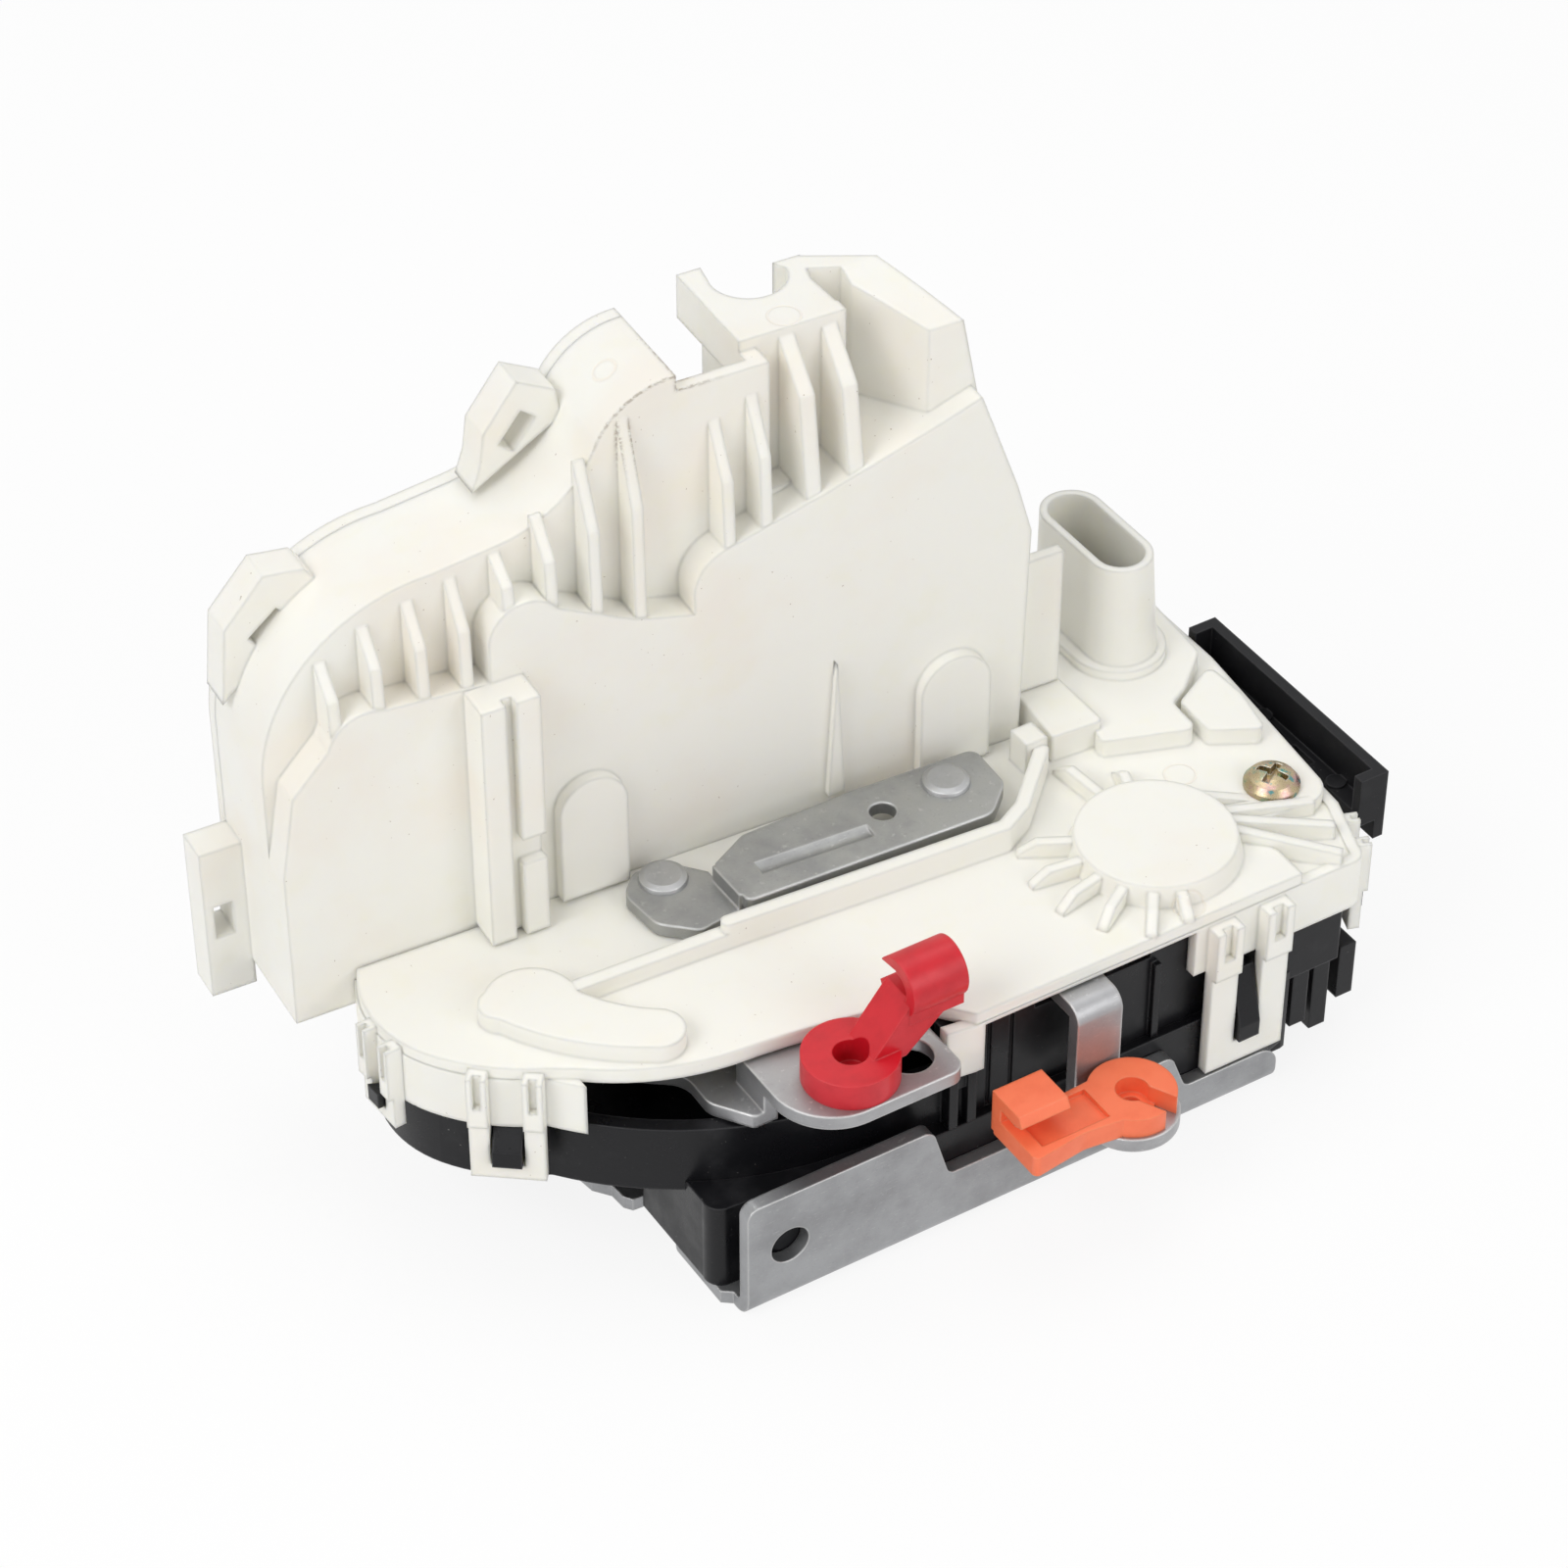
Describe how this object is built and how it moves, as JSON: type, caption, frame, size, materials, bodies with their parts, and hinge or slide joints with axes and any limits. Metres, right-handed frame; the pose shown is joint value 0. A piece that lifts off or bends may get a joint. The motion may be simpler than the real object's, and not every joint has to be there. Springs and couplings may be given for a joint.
{
  "type": "door latch actuator",
  "caption": "Car door latch with rotary fork, release levers, plastic rod clips and an upright powered lock actuator with a connector tower.",
  "frame": {"origin": "on the base plate's outer face, on the striker mouth's centre line, 20 mm behind the flange", "axes": "+Z away from the mounting face into the part, +X along the flange towards the connector, +Y into the door away from the flange"},
  "size_m": [0.1466, 0.0869, 0.1056],
  "materials": {
    "ivory_plastic": "moulded, fine satin texture",
    "black_plastic": "moulded, semi-matte",
    "zinc_steel": "zinc-plated pressed sheet with fine grain",
    "hardened_steel": "hardened, oiled",
    "spring_steel": "drawn wire",
    "motor_steel": "plated can",
    "yellow_zinc": "yellow passivated zinc",
    "tinned_brass": "tinned",
    "rubber": "moulded",
    "red_plastic": "moulded, satin",
    "orange_plastic": "moulded, satin",
    "white_gear_plastic": "acetal"
  },
  "bodies": {
    "latch": {"base_plate": "zinc_steel", "fixing_nut_left": "zinc_steel", "fixing_nut_right": "zinc_steel", "fixing_nut_front": "zinc_steel", "fork_pin": "zinc_steel", "pawl_pin": "zinc_steel", "pivot_bridge": "zinc_steel", "striker_buffer": "rubber", "latch_block": "black_plastic", "latch_housing": "black_plastic", "deck_cover": "ivory_plastic", "cover_screw": "yellow_zinc", "side_channel": "black_plastic", "contact_board": "black_plastic", "connector_blades": "tinned_brass", "fork_spring": "spring_steel", "pawl_spring": "spring_steel", "inside_lever_spring": "spring_steel", "outside_lever_spring": "spring_steel", "latch_switch": "black_plastic", "release_switch": "black_plastic", "actuator_case": "ivory_plastic", "actuator_back_cover": "ivory_plastic", "motor": "motor_steel", "wheel_axle": "motor_steel"},
    "fork": {"fork_bolt": "hardened_steel"},
    "pawl": {"pawl": "hardened_steel"},
    "inside_lever": {"inside_release_lever": "zinc_steel"},
    "outside_lever": {"outside_release_lever": "zinc_steel"},
    "red_clip": {"red_rod_clip": "red_plastic"},
    "orange_clip": {"orange_rod_clip": "orange_plastic"},
    "worm": {"worm": "white_gear_plastic"},
    "worm_wheel": {"worm_wheel": "white_gear_plastic"},
    "lock_slider": {"lock_slider": "white_gear_plastic"}
  },
  "joints": [
    {"name": "fork_turn", "type": "hinge", "parent": "latch", "child": "fork", "pos_m": [-0.02, 0.0224, 0.0048], "axis": [0, 0, 1], "range_deg": [-50, 0], "stiffness_Nm_per_rad": 0.05, "springref_deg": 11.46},
    {"name": "pawl_lift", "type": "hinge", "parent": "latch", "child": "pawl", "pos_m": [0.0197, 0.017, 0.0048], "axis": [0, 0, 1], "range_deg": [0, 4]},
    {"name": "inside_lever_pull", "type": "hinge", "parent": "latch", "child": "inside_lever", "pos_m": [-0.02, 0.0224, 0.0257], "axis": [0, 0, 1], "range_deg": [-12, 0], "stiffness_Nm_per_rad": 0.1, "springref_deg": 5.73},
    {"name": "outside_lever_pull", "type": "hinge", "parent": "latch", "child": "outside_lever", "pos_m": [0.0197, 0.017, 0.0304], "axis": [0, 0, 1], "range_deg": [0, 12], "stiffness_Nm_per_rad": 0.1, "springref_deg": -5.73},
    {"name": "red_clip_swivel", "type": "hinge", "parent": "inside_lever", "child": "red_clip", "pos_m": [-0.0165, -0.0167, 0.0314], "axis": [0, 0, 1], "range_deg": [-25, 25]},
    {"name": "orange_clip_swivel", "type": "hinge", "parent": "outside_lever", "child": "orange_clip", "pos_m": [0.0182, -0.0286, 0.0182], "axis": [0, 0, 1], "range_deg": [-12, 25]},
    {"name": "wheel_turn", "type": "hinge", "parent": "latch", "child": "worm_wheel", "pos_m": [-0.04438, 0.0398, 0.0612], "axis": [0.0628, 0.998, 0], "range_deg": [0, 57.3]},
    {"name": "worm_spin", "type": "hinge", "parent": "latch", "child": "worm", "pos_m": [-0.04438, 0.0398, 0.046], "axis": [0.998, -0.0628, 0], "range_deg": [0, 1730]},
    {"name": "slider_drop", "type": "slide", "parent": "latch", "child": "lock_slider", "axis": [0, 0, -1], "range_m": [0, 0.008]}
  ],
  "couplings": [
    {"joint": "wheel_turn", "follows": "slider_drop", "rad_per_m": 125},
    {"joint": "worm_spin", "follows": "slider_drop", "rad_per_m": 3750},
    {"joint": "pawl_lift", "follows": "inside_lever_pull", "ratio": -0.3333}
  ]
}
